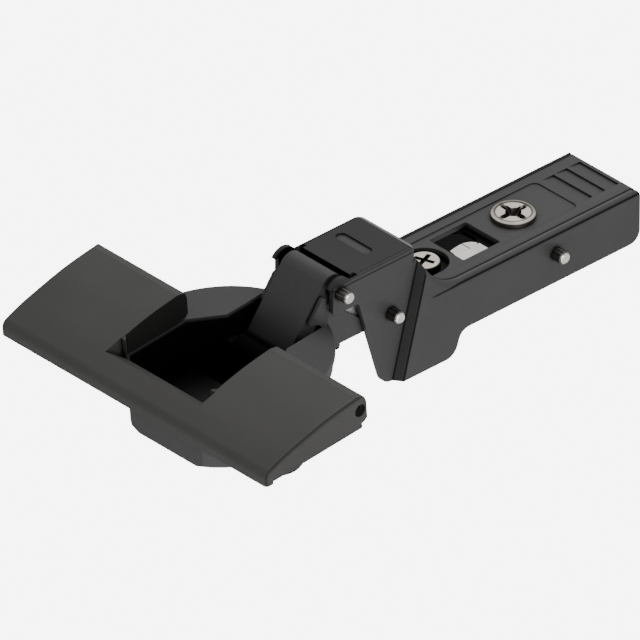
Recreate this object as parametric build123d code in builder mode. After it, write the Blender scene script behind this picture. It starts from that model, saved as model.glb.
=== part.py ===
from build123d import *
import os
from math import asin, cos, degrees, hypot, radians, sin, sqrt

os.makedirs("parts", exist_ok=True)

# Concealed cup hinge, shown open. X runs along the arm to its rear end, Z is up and
# Y runs across. The origin is where the carriage rests on the mounting plate.

# Arm: wide rear channel with a flat roof, and a narrower, higher nose
sheet = 1.0
slide_gap = 0.05
seat_web = 0.95
roof_z = seat_web + slide_gap + 1.1
roof_sheet = 1.1
roof_half = 6.9
rim_rise = 0.12
gusset_x = -18.2
gusset_z = 8.6
gusset_r = 8.2
arm_width = 16.6
arm_sheet = 1.05
rear_x = 24.75
side_low_z = -7.3
lobe_low_z = -11.6
lobe_rear_x = -15.2
fold_r = 1.3
nose_width = 13.5
nose_sheet = 0.9
nose_fold_r = 0.7
hump_corner_r = 1.5
hump_rise = 9.15
hump_rear_x = -22.6
hump_front_x = -36.25
nose_front_x = -30.1
ear_r = 2.6
ear_under = 3.8
ear_ahead = 1.5
joggle_x = -24.45
joggle_lean = 0.264
joggle_run = 1.05
rear_lip = 2.5
rear_fold_r = 1.0
relief = 0.6

# Openings and pressed lines in the roof
window_x = -5.97
window_side = 8.05
screw_x = -14.8
screw_hole_r = 4.04
screw_slot = 5.4
cam_x = 4.7
panel_half = 5.1
panel_depth = 0.18
panel_rear_x = 14.3
rib_x = 17.85
rib_pitch = 2.87
rib_count = 3
rib_half = 4.5
rib_depth = 0.3
emboss_length = 7.6
emboss_width = 2.0
emboss_depth = 0.3

# Pins
pin_r = 1.15
pin_proud = 2.45
pin_chamfer = 0.4
flute_count = 10
flute_r = 0.16
run_gap = 0.05
outer_pivot_x = -39.5
outer_pivot_z = 9.8
inner_pivot_x = -28.45
inner_pivot_z = 1.3
clip_pivot_x = 6.15
clip_pivot_z = -1.7

# Depth adjustment
depth_back = 1.2
depth_forward = 2.4

# Cup, in its own tilted frame: x' towards the arm, z' out of the door
cup_x = -58.7
cup_z = 3.86
cup_tilt = 5.0
rim_r = 17.9
flange = 1.0
barrel_r = 17.4
barrel_step = 3.2
body_r = 15.3
body_flat = 12.9
cup_depth = 12.0
cup_floor = 1.0
pocket_front = 11.65
pocket_half = 10.8
pocket_flare_x = 2.2
slot_half = 6.9
slot_start_x = 7.5
slot_depth = 7.6
pocket_r = 14.1
plate_front = 17.5
plate_rear = 2.2
plate_corner_r = 0.5
plate_half = 30.2
cup_pin_r = 1.25
outer_pin_half = 9.5
inner_pin_half = 8.2
outer_foot_x = 8.0
inner_foot_x = 12.5
foot_z = -5.5

# Folding from open to shut: angles of the door, the outer link and the inner link
door_fold = 95.0
outer_fold = 35.7345
inner_fold = 33.0660

# Links
outer_half = 4.76
outer_sheet = 1.1
outer_eye_r = 2.43
outer_foot_r = 2.3
outer_foot_cover = 0.34
outer_flange = 2.2
inner_half = 5.75
inner_sheet = 0.8
inner_eye_r = 1.95
inner_foot_r = 2.0
inner_low = 1.85

# Flip cover over the cup's wings
cover_overhang = 0.54
cover_gap = 0.1
cover_wall = 1.2
cover_front = 19.3
cover_lip_low = 0.95
cover_front_flat = 0.3
cover_open_front = 11.4
cover_open_half = 10.65
bar_slope_x = 14.8
bar_slope_z = 2.85
cover_top_x = 0.9
cover_top_z = 5.45
hinge_eye_x = 1.27
hinge_eye_z = 2.93
hinge_eye_r = 1.2
hinge_pin_r = 0.8
hinge_hole_r = 1.1
hinge_hole_depth = 0.85
lug_sheet = 0.8

# Expanding dowels
dowel_x = -9.5
dowel_spacing = 45.0
dowel_r = 4.0
dowel_length = 4.1
claw_width = 2.6
claw_height = 2.6
claw_length = 3.6
claw_travel = 0.8

lean = radians(cup_tilt)
rim_z = roof_z + rim_rise
hump_z = roof_z + hump_rise
channel_half = arm_width / 2 - arm_sheet
cover_half = plate_half + cover_overhang
nose_half = nose_width / 2 - nose_sheet
far = 60.0


def joggle_at(z):
    return joggle_x + joggle_lean * (z - roof_z)


def from_cup(x, z):
    return (cup_x + x * cos(lean) - z * sin(lean), cup_z + x * sin(lean) + z * cos(lean))


def from_cup3(x, z):
    place = from_cup(x, z)
    return (place[0], 0, place[1])


cup_plane = Plane(origin=(cup_x, 0, cup_z), x_dir=(cos(lean), 0, sin(lean)), z_dir=(-sin(lean), 0, cos(lean)))
cup_side = Plane(origin=(cup_x, 0, cup_z), x_dir=(cos(lean), 0, sin(lean)), z_dir=(0, -1, 0))
cup_axis = Axis(cup_plane.origin, cup_plane.z_dir)
outer_foot = from_cup(outer_foot_x, foot_z)
inner_foot = from_cup(inner_foot_x, foot_z)

# The joggle line leans; this plane is square to it, with its own x along the arm
joggle_plane = Plane(
    origin=(joggle_at(0), 0, 0),
    x_dir=(1, 0, -joggle_lean),
    z_dir=(joggle_lean, 0, 1),
)

# Space inside the folded sheet of the arm
with BuildPart() as arm_cavity:
    with BuildSketch(Plane.XZ):
        with BuildLine():
            Polyline(
                (joggle_at(-far), -far),
                (rear_x + far, -far),
                (rear_x + far, roof_z - rear_lip),
                (rear_x - sheet, roof_z - rear_lip),
                (rear_x - sheet, roof_z - roof_sheet),
                (joggle_at(roof_z - roof_sheet), roof_z - roof_sheet),
                close=True,
            )
        make_face()
    extrude(amount=channel_half, both=True)
    with BuildSketch(joggle_plane):
        with BuildLine():
            Polyline(
                (0.3, nose_half),
                (joggle_run + 0.3, channel_half),
                (joggle_run + 0.3, far),
                (-far, far),
                (-far, nose_half),
                close=True,
            )
        make_face()
        mirror(about=Plane.XZ)
    extrude(amount=far, both=True, mode=Mode.SUBTRACT)
    with BuildSketch(Plane.XZ):
        with BuildLine():
            Polyline(
                (-far, -far),
                (screw_x, -far),
                (screw_x, roof_z - roof_sheet),
                (hump_rear_x - sheet, roof_z - roof_sheet),
                (hump_rear_x - sheet, hump_z - sheet),
                (hump_front_x, hump_z - sheet),
                (hump_front_x, far),
                (-far, far),
                close=True,
            )
        make_face()
    extrude(amount=nose_half, both=True)

# Outer arm, folded from one sheet
with BuildPart() as hinge_arm:
    with BuildSketch(Plane.XZ):
        with BuildLine():
            FilletPolyline(
                (joggle_at(gusset_z), gusset_z),
                (gusset_x, rim_z),
                (rear_x, rim_z),
                (rear_x, side_low_z),
                (lobe_rear_x + 0.8, side_low_z),
                (lobe_rear_x - 0.6, lobe_low_z),
                (joggle_at(lobe_low_z), lobe_low_z),
                radius=(0, gusset_r, 0, 2.2, 2.2, 2.6, 0),
                close=True,
            )
        make_face()
    extrude(amount=arm_width / 2, both=True)
    fillet(hinge_arm.edges().filter_by(Axis.X).group_by(Axis.Z)[-1], fold_r)
    with BuildSketch(Plane.XY.offset(roof_z)):
        with Locations((hump_rear_x, 0)):
            Rectangle(far, 2 * roof_half, align=(Align.MIN, Align.CENTER))
    extrude(amount=far, mode=Mode.SUBTRACT)
    with BuildSketch(joggle_plane):
        with BuildLine():
            Polyline(
                (0, nose_width / 2),
                (joggle_run, arm_width / 2),
                (joggle_run, arm_width),
                (-joggle_run, arm_width),
                (-joggle_run, nose_width / 2),
                close=True,
            )
        make_face()
        mirror(about=Plane.XZ)
    extrude(amount=far, both=True, mode=Mode.SUBTRACT)
    with BuildSketch(Plane.XZ):
        with BuildLine():
            FilletPolyline(
                (hump_rear_x, hump_z),
                (outer_pivot_x - ear_ahead, hump_z),
                (outer_pivot_x - ear_ahead, outer_pivot_z - ear_under),
                (hump_front_x + 0.8, outer_pivot_z - ear_under),
                (nose_front_x, lobe_low_z),
                (joggle_at(lobe_low_z), lobe_low_z),
                (joggle_at(roof_z), roof_z),
                (hump_rear_x, roof_z),
                radius=(0, 0, 0.9, 0.4, 2.6, 0, 0, 0),
                close=True,
            )
        make_face()
        with Locations((outer_pivot_x, outer_pivot_z)):
            Circle(ear_r)
        with Locations((outer_pivot_x - ear_ahead, outer_pivot_z + ear_r / 2)):
            Rectangle(far, far, align=(Align.MAX, Align.MAX), mode=Mode.SUBTRACT)
    extrude(amount=nose_width / 2, both=True)
    with BuildSketch(Plane.XY.offset(gusset_z)):
        with Locations((hump_rear_x, nose_width / 2)):
            Rectangle(2 * hump_corner_r, 2 * hump_corner_r)
        with Locations((hump_rear_x - hump_corner_r, nose_width / 2 - hump_corner_r)):
            Circle(hump_corner_r, mode=Mode.SUBTRACT)
        mirror(about=Plane.XZ)
    extrude(amount=far, mode=Mode.SUBTRACT)
    hump_top = hinge_arm.edges().filter_by(Axis.X).filter_by_position(Axis.Z, hump_z - 0.01, hump_z + 0.01)
    fillet(hump_top, nose_fold_r)
    add(arm_cavity.part, mode=Mode.SUBTRACT)
    # Rounded rear edge, bend reliefs beside the rear lip and at the hump's front corners
    with BuildSketch(Plane.XZ):
        with Locations((rear_x, rim_z)):
            Rectangle(2 * rear_fold_r, 2 * rear_fold_r)
        with Locations((rear_x - rear_fold_r, rim_z - rear_fold_r)):
            Circle(rear_fold_r, mode=Mode.SUBTRACT)
    extrude(amount=arm_width, both=True, mode=Mode.SUBTRACT)
    with Locations((rear_x, channel_half, roof_z), (rear_x, -channel_half, roof_z)):
        Box(2 * sheet, relief, 2 * rear_lip + 0.2, mode=Mode.SUBTRACT)
    with Locations((hump_front_x, nose_half, hump_z), (hump_front_x, -nose_half, hump_z)):
        Box(3 * relief, 1.5 * relief, 3 * sheet, mode=Mode.SUBTRACT)
    # Shallow panel pressed into the roof, with the square window and the screw holes
    with BuildSketch(Plane.XY.offset(roof_z)):
        with Locations(((panel_rear_x + joggle_at(roof_z)) / 2, 0)):
            RectangleRounded(panel_rear_x - joggle_at(roof_z), 2 * panel_half, 1.2)
    extrude(amount=-panel_depth, mode=Mode.SUBTRACT)
    with BuildSketch(Plane.XY.offset(roof_z)):
        with Locations((window_x, 0)):
            RectangleRounded(window_side, window_side, 0.25)
        with Locations((screw_x, 0)):
            Circle(screw_hole_r)
        with Locations((screw_x - screw_slot / 2, 0)):
            Rectangle(screw_slot, 2 * screw_hole_r)
        with Locations((cam_x, 0)):
            Circle(2.45)
    extrude(amount=-2 * roof_sheet, mode=Mode.SUBTRACT)
    # Pressed ramps near the rear end: each slopes down and ends in a small step
    for rib in range(rib_count):
        step_x = rib_x + rib * rib_pitch
        with BuildSketch(Plane.XZ):
            with BuildLine():
                Polyline(
                    (step_x - rib_pitch + 0.3, roof_z),
                    (step_x, roof_z),
                    (step_x, roof_z - rib_depth),
                    close=True,
                )
            make_face()
        extrude(amount=rib_half, both=True, mode=Mode.SUBTRACT)
    # Long pressed bar across the hump
    with BuildSketch(Plane.XY.offset(hump_z)):
        with Locations(((hump_front_x + hump_rear_x) / 2, 0.8)):
            SlotOverall(emboss_length, emboss_width, rotation=90)
    extrude(amount=-emboss_depth, mode=Mode.SUBTRACT)
    # Holes for the three cross pins
    with BuildSketch(Plane.XZ):
        with Locations(
            (outer_pivot_x, outer_pivot_z),
            (inner_pivot_x, inner_pivot_z),
            (clip_pivot_x, clip_pivot_z),
        ):
            Circle(pin_r)
    extrude(amount=arm_width, both=True, mode=Mode.SUBTRACT)
hinge_arm.part.label = "hinge_arm"
export_step(hinge_arm.part, "parts/hinge_arm.step")

# Inner carriage that clips on the mounting plate; the arm slides along it. Only a small
# pad in the middle of its web bears on the plate.
carriage_half = channel_half - 0.15
pad_rise = 0.15
pad_length = 2.8
pad_half = 4.5
carriage_front = screw_x - 5.4
carriage_rear = clip_pivot_x + 8.0
with BuildPart() as carriage:
    with BuildSketch(Plane.YZ.offset(carriage_front)):
        with BuildLine():
            FilletPolyline(
                (-carriage_half, -5.5),
                (-carriage_half, seat_web),
                (carriage_half, seat_web),
                (carriage_half, -5.5),
                (carriage_half - sheet, -5.5),
                (carriage_half - sheet, pad_rise),
                (-carriage_half + sheet, pad_rise),
                (-carriage_half + sheet, -5.5),
                radius=(0, 1.1, 1.1, 0, 0, 0.2, 0.2, 0),
                close=True,
            )
        make_face()
    extrude(amount=carriage_rear - carriage_front)
    with Locations((-0.4, 0, 0)):
        Box(pad_length, 2 * pad_half, seat_web / 2, align=(Align.CENTER, Align.CENTER, Align.MIN))
    # Hooked front edge and sloping rear edge of the side walls
    with BuildSketch(Plane.XZ):
        with BuildLine():
            Polyline(
                (carriage_front - 1, -2.4),
                (carriage_front + 2.2, -2.4),
                (carriage_front + 3.4, -5.6),
                (carriage_front - 1, -5.6),
                close=True,
            )
        make_face()
        with BuildLine():
            Polyline(
                (carriage_rear + 1, -1.6),
                (carriage_rear - 3.0, -5.6),
                (carriage_rear + 1, -5.6),
                close=True,
            )
        make_face()
        with Locations((clip_pivot_x + (depth_forward - depth_back) / 2, clip_pivot_z)):
            SlotOverall(2 * pin_r + depth_forward + depth_back + 0.3, 2 * pin_r + 0.3)
    extrude(amount=arm_width, both=True, mode=Mode.SUBTRACT)
    # Screwdriver opening, cam slot and threaded hole in the web
    with BuildSketch(Plane.XY):
        with Locations((window_x - 0.6, 2.0)):
            RectangleRounded(window_side - 0.8, 6.2, 2.2)
        with Locations((cam_x + (depth_forward - depth_back) / 2, 0)):
            SlotOverall(4.9 + depth_forward + depth_back, 4.9)
        with Locations((screw_x, 0)):
            Circle(2.05)
    extrude(amount=2 * seat_web, mode=Mode.SUBTRACT)
carriage.part.label = "carriage"
export_step(carriage.part, "parts/carriage.step")

# Side adjusting screw: low head in the roof's hole, shank threaded in the carriage
with BuildPart() as overlay_screw:
    with Locations((screw_x, 0, seat_web + 0.05)):
        Cylinder(2.66, 1.2, align=(Align.CENTER, Align.CENTER, Align.MIN))
    chamfer(overlay_screw.edges().group_by(Axis.Z)[-1], 0.25)
    with Locations((screw_x, 0, seat_web + 0.06)):
        Cylinder(2.0, 5.0, align=(Align.CENTER, Align.CENTER, Align.MAX))
    chamfer(overlay_screw.edges().group_by(Axis.Z)[0], 0.4)
    with Locations((screw_x, 0, seat_web + 1.25)):
        Box(3.6, 0.8, 1.6, rotation=(0, 0, 20), mode=Mode.SUBTRACT)
        Box(0.8, 3.6, 1.6, rotation=(0, 0, 20), mode=Mode.SUBTRACT)
overlay_screw.part.label = "overlay_screw"
export_step(overlay_screw.part, "parts/overlay_screw.step")

# Depth cam: round head with a cross recess, shank through the roof and the carriage
cam_r = 3.61
cam_head = 0.85
with BuildPart() as depth_cam:
    with Locations((cam_x, 0, roof_z - panel_depth)):
        Cylinder(cam_r, cam_head + panel_depth, align=(Align.CENTER, Align.CENTER, Align.MIN))
    chamfer(depth_cam.edges().group_by(Axis.Z)[-1], 0.3)
    with Locations((cam_x, 0, roof_z)):
        Cylinder(2.4, roof_z - 0.1, align=(Align.CENTER, Align.CENTER, Align.MAX))
    with BuildSketch(Plane.XY.offset(roof_z + cam_head)):
        with Locations((cam_x, 0)):
            Circle(cam_r - 0.65)
    extrude(amount=-0.12, mode=Mode.SUBTRACT)
    with BuildSketch(Plane.XY.offset(roof_z + cam_head)):
        with Locations((cam_x, 0)):
            RectangleRounded(5.2, 1.15, 0.25)
            RectangleRounded(1.15, 5.2, 0.25)
            Circle(1.35)
    extrude(amount=-1.5, taper=14, mode=Mode.SUBTRACT)
depth_cam.part.label = "depth_cam"
export_step(depth_cam.part, "parts/depth_cam.step")


def fluted_pin(x, z, half):
    # Plain shaft with fluted, chamfered ends that stand out of the side walls
    with BuildPart() as pin:
        with BuildSketch(Plane.XZ):
            with Locations((x, z)):
                Circle(pin_r)
        extrude(amount=half + pin_proud, both=True)
        chamfer(pin.edges().filter_by(GeomType.CIRCLE), pin_chamfer)
        with BuildSketch(Plane.XZ.offset(half)):
            with Locations((x, z)):
                with PolarLocations(pin_r, flute_count):
                    Circle(flute_r)
        extrude(amount=pin_proud - pin_chamfer, mode=Mode.SUBTRACT)
        mirror(about=Plane.XZ, mode=Mode.INTERSECT)
    return pin.part


outer_link_pin = fluted_pin(outer_pivot_x, outer_pivot_z, nose_width / 2)
outer_link_pin.label = "outer_link_pin"
export_step(outer_link_pin, "parts/outer_link_pin.step")

inner_link_pin = fluted_pin(inner_pivot_x, inner_pivot_z, nose_width / 2)
inner_link_pin.label = "inner_link_pin"
export_step(inner_link_pin, "parts/inner_link_pin.step")

rear_cross_pin = fluted_pin(clip_pivot_x, clip_pivot_z, arm_width / 2)
rear_cross_pin.label = "rear_cross_pin"
export_step(rear_cross_pin, "parts/rear_cross_pin.step")

# Outer link: a plate whose top rolls round the front pin and whose foot rolls round
# the cup's pin. Its frame has x down the plate and y out of the plate's outer face.
link_x = outer_foot[0] - outer_pivot_x
link_z = outer_foot[1] - outer_pivot_z
link_length = hypot(link_x, link_z)
plate_turn = asin((outer_eye_r - outer_foot_cover) / link_length)
along = Vector(link_x, 0, link_z).normalized().rotate(Axis.Y, -degrees(plate_turn))
outer_plane = Plane(origin=(outer_pivot_x, 0, outer_pivot_z), x_dir=along, z_dir=(0, 1, 0))
foot_at = (link_length * cos(plate_turn), link_length * sin(plate_turn))
with BuildPart() as outer_link:
    with BuildSketch(outer_plane):
        with Locations((0, outer_eye_r - outer_sheet)):
            Rectangle(foot_at[0], outer_sheet, align=(Align.MIN, Align.MIN))
        Circle(outer_eye_r)
        with Locations(foot_at):
            Circle(outer_foot_r)
    extrude(amount=outer_half, both=True)
    with BuildSketch(outer_plane):
        with BuildLine():
            FilletPolyline(
                (0, outer_eye_r - outer_sheet / 2),
                (foot_at[0], outer_eye_r - outer_sheet / 2),
                (foot_at[0] - 3.0, outer_eye_r - outer_sheet - 0.6),
                (foot_at[0] - 6.0, outer_eye_r - outer_sheet - outer_flange),
                (0, outer_eye_r - outer_sheet - outer_flange),
                radius=(0, 0, 0, 1.2, 0),
                close=True,
            )
        make_face()
    extrude(amount=outer_half, both=True)
    with BuildSketch(outer_plane):
        with Locations((outer_eye_r + 0.6, outer_eye_r - outer_sheet)):
            Rectangle(
                foot_at[0] - outer_eye_r - outer_foot_r - 1.2,
                far,
                align=(Align.MIN, Align.MAX),
            )
    extrude(amount=outer_half - outer_sheet, both=True, mode=Mode.SUBTRACT)
    with BuildSketch(outer_plane):
        Circle(pin_r + run_gap)
        with Locations(foot_at):
            Circle(cup_pin_r + run_gap)
    extrude(amount=outer_half, both=True, mode=Mode.SUBTRACT)
outer_link.part.label = "outer_link"
export_step(outer_link.part, "parts/outer_link.step")

# Inner link: two side plates outside the outer link, joined by a web along their
# lower edge. The plates reach up beside the front pin. Their hole at the arm's lower
# pin is a short slot, swept by the pin while the links and the cup fold together.
inner_low_z = inner_pivot_z - inner_low
web_front_x = outer_pivot_x - 0.5
web_rear_x = inner_pivot_x - 3.55
arm_pivot = Vector(outer_pivot_x, outer_pivot_z)
rear_pivot = Vector(inner_pivot_x, inner_pivot_z)
foot = Vector(*outer_foot)
second_foot = Vector(*inner_foot)
pin_drift = []
for step in range(12):
    share = step / 12
    foot_now = arm_pivot + (foot - arm_pivot).rotate(Axis.Z, outer_fold * share)
    second_now = foot_now + (second_foot - foot).rotate(Axis.Z, -door_fold * share)
    drift = (rear_pivot - second_now).rotate(Axis.Z, -inner_fold * share)
    drift = second_foot + drift
    pin_drift.append((drift.X, drift.Y))
with BuildPart() as inner_link:
    with BuildSketch(Plane.XZ):
        with BuildLine():
            FilletPolyline(
                (inner_pivot_x, inner_low_z),
                (outer_pivot_x + 1.0, inner_low_z),
                (outer_pivot_x + 1.0, inner_low_z - 0.5),
                (outer_pivot_x - 0.3, inner_low_z - 0.5),
                (inner_foot[0], inner_foot[1] - inner_foot_r),
                (inner_foot[0] - inner_foot_r, inner_foot[1]),
                (outer_pivot_x - 5.4, outer_pivot_z - 4.05),
                (outer_pivot_x - 2.12, outer_pivot_z + 0.6),
                (outer_pivot_x - 2.1, outer_pivot_z - 1.8),
                (outer_pivot_x - 0.6, outer_pivot_z - 3.6),
                (outer_pivot_x + 2.0, outer_pivot_z - 4.7),
                (inner_pivot_x - 5.15, inner_pivot_z + 0.45),
                (inner_pivot_x - 2.75, inner_pivot_z + 0.2),
                (inner_pivot_x, inner_pivot_z + inner_eye_r),
                radius=(0, 0, 0, 1.0, 0, 0, 0.4, 0.5, 0.4, 0.5, 0.5, 1.5, 1.0, 0),
                close=True,
            )
        make_face()
        with Locations(inner_foot):
            Circle(inner_foot_r)
    extrude(amount=inner_half, both=True)
    with BuildSketch(Plane.XZ):
        with BuildLine():
            Polyline(pin_drift, close=True)
        make_face()
        offset(amount=inner_eye_r)
    extrude(amount=inner_half, both=True)
    with BuildSketch(Plane.XZ):
        Rectangle(2 * far, 2 * far)
    extrude(amount=inner_half - inner_sheet, both=True, mode=Mode.SUBTRACT)
    with BuildSketch(Plane.XY.offset(inner_low_z)):
        with Locations((web_front_x, 0)):
            Rectangle(web_rear_x - web_front_x, 2 * inner_half - inner_sheet, align=(Align.MIN, Align.CENTER))
    extrude(amount=inner_sheet)
    with BuildSketch(Plane.XZ):
        with BuildLine():
            Polyline(pin_drift, close=True)
        make_face()
        offset(amount=pin_r + 2 * run_gap)
        with Locations(inner_foot):
            Circle(cup_pin_r + run_gap)
    extrude(amount=inner_half, both=True, mode=Mode.SUBTRACT)
    # Way of the cup's other pin round this link's foot
    with BuildLine(mode=Mode.PRIVATE) as pin_way:
        CenterArc(inner_foot, inner_foot_x - outer_foot_x, 180 + cup_tilt - door_fold - inner_fold, door_fold + inner_fold)
    with BuildSketch(Plane.XZ):
        SlotArc(pin_way.edges()[0], 2 * (cup_pin_r + 5 * run_gap))
    extrude(amount=inner_half, both=True, mode=Mode.SUBTRACT)
inner_link.part.label = "inner_link"
export_step(inner_link.part, "parts/inner_link.step")

# Leaf that pulls the door shut: clipped on the web of the inner link, its front end and
# its two cheeks turned up
leaf_sheet = 0.5
leaf_low_z = inner_low_z + inner_sheet
cheek_half = inner_half - inner_sheet - 0.1
with BuildPart() as closing_spring:
    with BuildSketch(Plane.XZ):
        with BuildLine():
            FilletPolyline(
                (web_rear_x - 0.4, leaf_low_z),
                (web_front_x + 0.6, leaf_low_z),
                (web_front_x + 2.6, leaf_low_z + 3.6),
                (web_front_x + 3.2, leaf_low_z + 3.6),
                (web_front_x + 1.5, leaf_low_z + leaf_sheet),
                (web_rear_x - 0.4, leaf_low_z + leaf_sheet),
                radius=(0, 0.9, 0, 0, 0.4, 0),
                close=True,
            )
        make_face()
    extrude(amount=cheek_half - leaf_sheet - 0.05, both=True)
    with BuildSketch(Plane.XZ):
        with BuildLine():
            FilletPolyline(
                (web_rear_x - 0.4, leaf_low_z),
                (web_front_x + 3.4, leaf_low_z),
                (web_front_x + 3.2, leaf_low_z + 4.35),
                (web_front_x + 4.0, leaf_low_z + 5.05),
                (web_rear_x, leaf_low_z + 5.05),
                radius=(0, 0, 0.6, 0.6, 0),
                close=True,
            )
        make_face()
    extrude(amount=cheek_half, both=True)
    with BuildSketch(Plane.XZ):
        with Locations((web_front_x + 3.15, leaf_low_z + leaf_sheet)):
            Rectangle(far, far, align=(Align.MIN, Align.MIN))
    extrude(amount=cheek_half - leaf_sheet + 0.05, both=True, mode=Mode.SUBTRACT)
closing_spring.part.label = "closing_spring"
export_step(closing_spring.part, "parts/closing_spring.step")

# Pins that join the links to the cup
with BuildPart() as cup_pin_outer:
    with BuildSketch(Plane.XZ):
        with Locations(outer_foot):
            Circle(cup_pin_r)
    extrude(amount=outer_pin_half, both=True)
    chamfer(cup_pin_outer.edges().filter_by(GeomType.CIRCLE), 0.2)
cup_pin_outer.part.label = "cup_pin_outer"
export_step(cup_pin_outer.part, "parts/cup_pin_outer.step")

with BuildPart() as cup_pin_inner:
    with BuildSketch(Plane.XZ):
        with Locations(inner_foot):
            Circle(cup_pin_r)
    extrude(amount=inner_pin_half, both=True)
    chamfer(cup_pin_inner.edges().filter_by(GeomType.CIRCLE), 0.2)
cup_pin_inner.part.label = "cup_pin_inner"
export_step(cup_pin_inner.part, "parts/cup_pin_inner.step")

# Release lever at the rear pin, inside the carriage: two cheeks, a tail and a hook
lever_half = carriage_half - sheet - 0.15
lever_eye_r = 1.6
with BuildPart() as clip_lever:
    with BuildSketch(Plane.XZ):
        with BuildLine():
            FilletPolyline(
                (clip_pivot_x - 1.4, clip_pivot_z - 0.6),
                (clip_pivot_x + 1.2, clip_pivot_z + 0.9),
                (rear_x - 4.0, clip_pivot_z - 1.8),
                (rear_x - 2.4, clip_pivot_z - 3.3),
                (rear_x - 4.0, clip_pivot_z - 4.2),
                (clip_pivot_x + 3.2, clip_pivot_z - 2.6),
                (clip_pivot_x + 0.6, clip_pivot_z - 4.6),
                (clip_pivot_x - 2.2, clip_pivot_z - 4.4),
                radius=(0, 0, 1.0, 0.8, 1.2, 1.0, 0.8, 0.3),
                close=True,
            )
        make_face()
        with Locations((clip_pivot_x, clip_pivot_z)):
            Circle(lever_eye_r)
    extrude(amount=lever_half, both=True)
    with BuildSketch(Plane.XY.offset(clip_pivot_z + 2.0)):
        with Locations((rear_x - 5.2, 0)):
            Rectangle(far, 2 * (lever_half - sheet), align=(Align.MAX, Align.CENTER))
    extrude(amount=-2 * far, mode=Mode.SUBTRACT)
    with BuildSketch(Plane.XZ):
        with Locations((clip_pivot_x, clip_pivot_z)):
            Circle(pin_r + run_gap)
    extrude(amount=lever_half, both=True, mode=Mode.SUBTRACT)
clip_lever.part.label = "clip_lever"
export_step(clip_lever.part, "parts/clip_lever.step")

# Coil spring of the lever, wound round the rear pin
coil_pitch = 0.75
coil_turns = 8
coil_r = pin_r + 0.3
with BuildPart() as clip_spring:
    with BuildLine() as coil:
        Helix(
            pitch=coil_pitch,
            height=coil_pitch * coil_turns,
            radius=coil_r,
            center=(clip_pivot_x, -coil_pitch * coil_turns / 2, clip_pivot_z),
            direction=(0, 1, 0),
        )
    with BuildSketch(Plane(origin=coil.line @ 0, z_dir=coil.line % 0)):
        Circle(0.2)
    sweep()
clip_spring.part.label = "clip_spring"
export_step(clip_spring.part, "parts/clip_spring.step")

# Cup with its rim, two wings and the pocket for the links
step_floor = barrel_step - cup_floor
with BuildPart() as hinge_cup:
    with BuildSketch(cup_plane):
        Circle(rim_r)
        with Locations((-plate_front, 0)):
            Rectangle(far, far, align=(Align.MAX, Align.CENTER), mode=Mode.SUBTRACT)
        with Locations(((plate_rear - plate_front) / 2, 0)):
            RectangleRounded(plate_rear + plate_front, 2 * plate_half, plate_corner_r)
    extrude(amount=-flange)
    with BuildSketch(cup_plane.offset(-flange)):
        Circle(barrel_r)
    extrude(amount=flange - barrel_step)
    with BuildSketch(cup_plane.offset(-barrel_step)):
        Circle(body_r)
        with Locations((-body_flat, 0)):
            Rectangle(far, far, align=(Align.MAX, Align.CENTER), mode=Mode.SUBTRACT)
    extrude(amount=barrel_step - cup_depth)
    with BuildSketch(cup_plane.offset(-cup_depth)):
        Circle(rim_r)
        Circle(body_r - 0.8, mode=Mode.SUBTRACT)
    extrude(amount=0.8, taper=45, mode=Mode.SUBTRACT)
    # Pocket: wide through the rim and the step, rounder below, with a slot to the arm
    for deep, reach in ((step_floor, rim_r), (cup_depth - cup_floor, pocket_r)):
        with BuildSketch(cup_plane):
            with BuildLine():
                FilletPolyline(
                    (-pocket_front, -pocket_half),
                    (pocket_flare_x, -pocket_half),
                    (slot_start_x, -slot_half),
                    (rim_r, -slot_half),
                    (rim_r, slot_half),
                    (slot_start_x, slot_half),
                    (pocket_flare_x, pocket_half),
                    (-pocket_front, pocket_half),
                    radius=(1.2, 0.8, 0.8, 0, 0, 0.8, 0.8, 1.2),
                    close=True,
                )
            make_face()
            Circle(reach, mode=Mode.INTERSECT)
        extrude(amount=-deep, mode=Mode.SUBTRACT)
    with BuildSketch(cup_plane):
        with Locations((slot_start_x, 0)):
            Rectangle(far, 2 * slot_half, align=(Align.MIN, Align.CENTER))
    extrude(amount=-slot_depth, mode=Mode.SUBTRACT)
    # Blind holes for the pin, and round holes for the dowels' necks
    with BuildSketch(cup_side):
        with Locations((outer_foot_x, foot_z)):
            Circle(cup_pin_r)
    extrude(amount=outer_pin_half + 0.05, both=True, mode=Mode.SUBTRACT)
    with BuildSketch(cup_side):
        with Locations((inner_foot_x, foot_z)):
            Circle(cup_pin_r)
    extrude(amount=inner_pin_half + 0.05, both=True, mode=Mode.SUBTRACT)
    with BuildSketch(cup_plane):
        with Locations((dowel_x, dowel_spacing / 2), (dowel_x, -dowel_spacing / 2)):
            Circle(dowel_r - 1.2)
    extrude(amount=-flange, mode=Mode.SUBTRACT)
    # Lugs that carry the cover
    for side in (-1, 1):
        lug_y = side * (cover_half - cover_wall - cover_gap - lug_sheet / 2)
        with BuildSketch(Plane(origin=cup_side.origin + Vector(0, lug_y, 0), x_dir=cup_side.x_dir, z_dir=cup_side.z_dir)):
            with BuildLine():
                Polyline(
                    (hinge_eye_x - hinge_eye_r, hinge_eye_z),
                    (hinge_eye_x - 2.0 * hinge_eye_r, -flange / 2),
                    (plate_rear, -flange / 2),
                    (hinge_eye_x + hinge_eye_r, hinge_eye_z),
                    close=True,
                )
            make_face()
            with Locations((hinge_eye_x, hinge_eye_z)):
                Circle(hinge_eye_r)
        extrude(amount=lug_sheet / 2, both=True)
    with BuildSketch(cup_side):
        with Locations((hinge_eye_x, hinge_eye_z)):
            Circle(hinge_pin_r + run_gap)
    extrude(amount=cover_half, both=True, mode=Mode.SUBTRACT)
hinge_cup.part.label = "hinge_cup"
export_step(hinge_cup.part, "parts/hinge_cup.step")

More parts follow.
